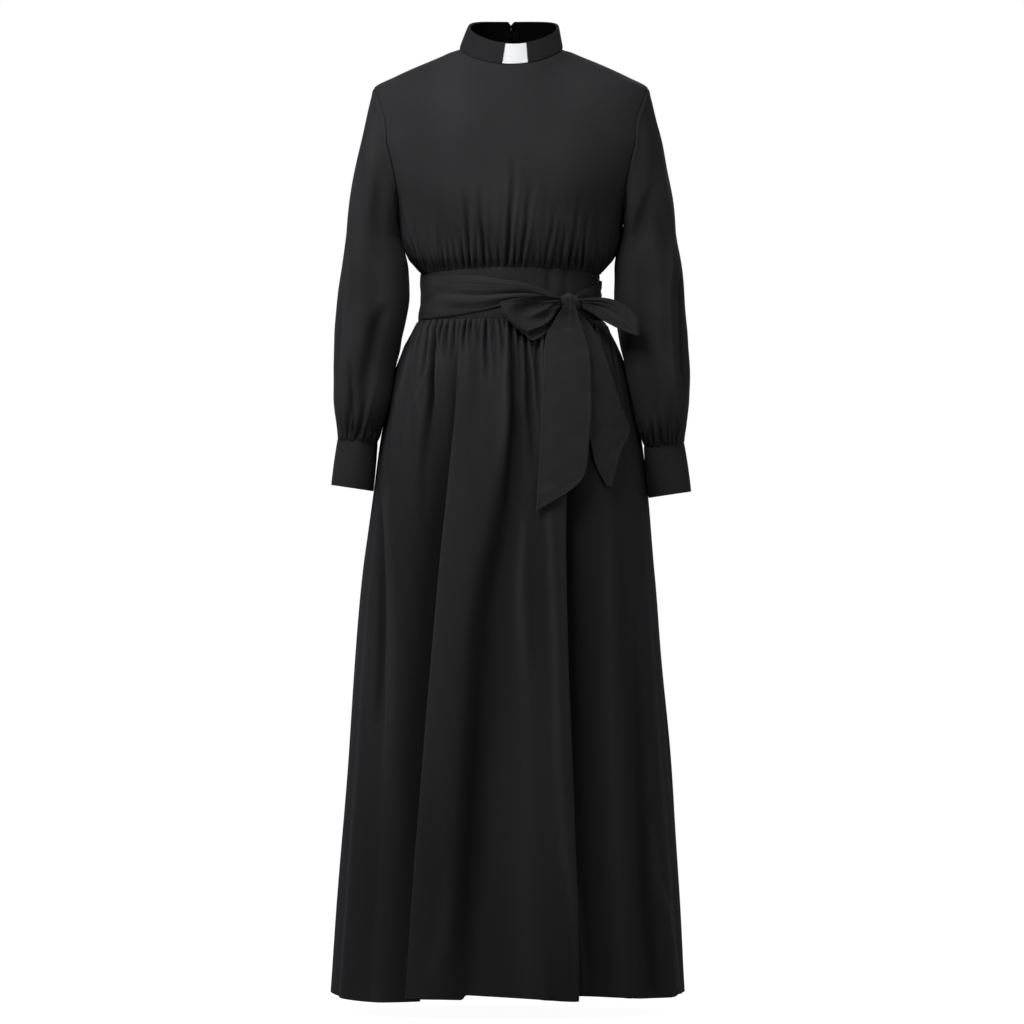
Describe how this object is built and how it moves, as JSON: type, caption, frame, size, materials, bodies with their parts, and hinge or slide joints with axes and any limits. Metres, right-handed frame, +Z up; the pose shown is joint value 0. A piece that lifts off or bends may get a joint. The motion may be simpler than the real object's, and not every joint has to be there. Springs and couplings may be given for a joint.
{
  "type": "clergy dress",
  "caption": "Long black dress with a white tab in its stand collar, gathered sleeves with cuffs, a waistband, a gathered skirt and a sash tied in a bow",
  "frame": {"origin": "between the shoulder seams at the base of the neck, where the wearer's shoulders hold the dress up", "axes": "+Z up towards the wearer's head, -Y the way the wearer faces, +X to the wearer's left"},
  "size_m": [0.5173, 0.429, 1.399],
  "materials": {
    "black_crepe": "matte woven crepe",
    "white_tab": "smooth and matte",
    "black_metal": "black enamel, satin"
  },
  "bodies": {
    "dress": {"bodice_front": "black_crepe", "bodice_back_left": "black_crepe", "bodice_back_right": "black_crepe", "sleeve_left": "black_crepe", "sleeve_right": "black_crepe", "cuff_left": "black_crepe", "cuff_right": "black_crepe", "collar_left": "black_crepe", "collar_right": "black_crepe", "tab_insert": "white_tab", "waistband_front": "black_crepe", "waistband_back_left": "black_crepe", "waistband_back_right": "black_crepe", "skirt_front": "black_crepe", "skirt_back_left": "black_crepe", "skirt_back_right": "black_crepe", "sash_wrap": "black_crepe", "bow_knot": "black_crepe", "bow_loop_left": "black_crepe", "bow_loop_right": "black_crepe", "bow_tail_front": "black_crepe", "bow_tail_back": "black_crepe", "zip_slider": "black_metal"},
    "pull_tab": {"zip_pull": "black_metal"}
  },
  "joints": [
    {"name": "pull_tab_swing", "type": "hinge", "parent": "dress", "child": "pull_tab", "pos_m": [0, 0.056, 0.03], "axis": [1, 0, 0], "range_deg": [0, 160]}
  ]
}
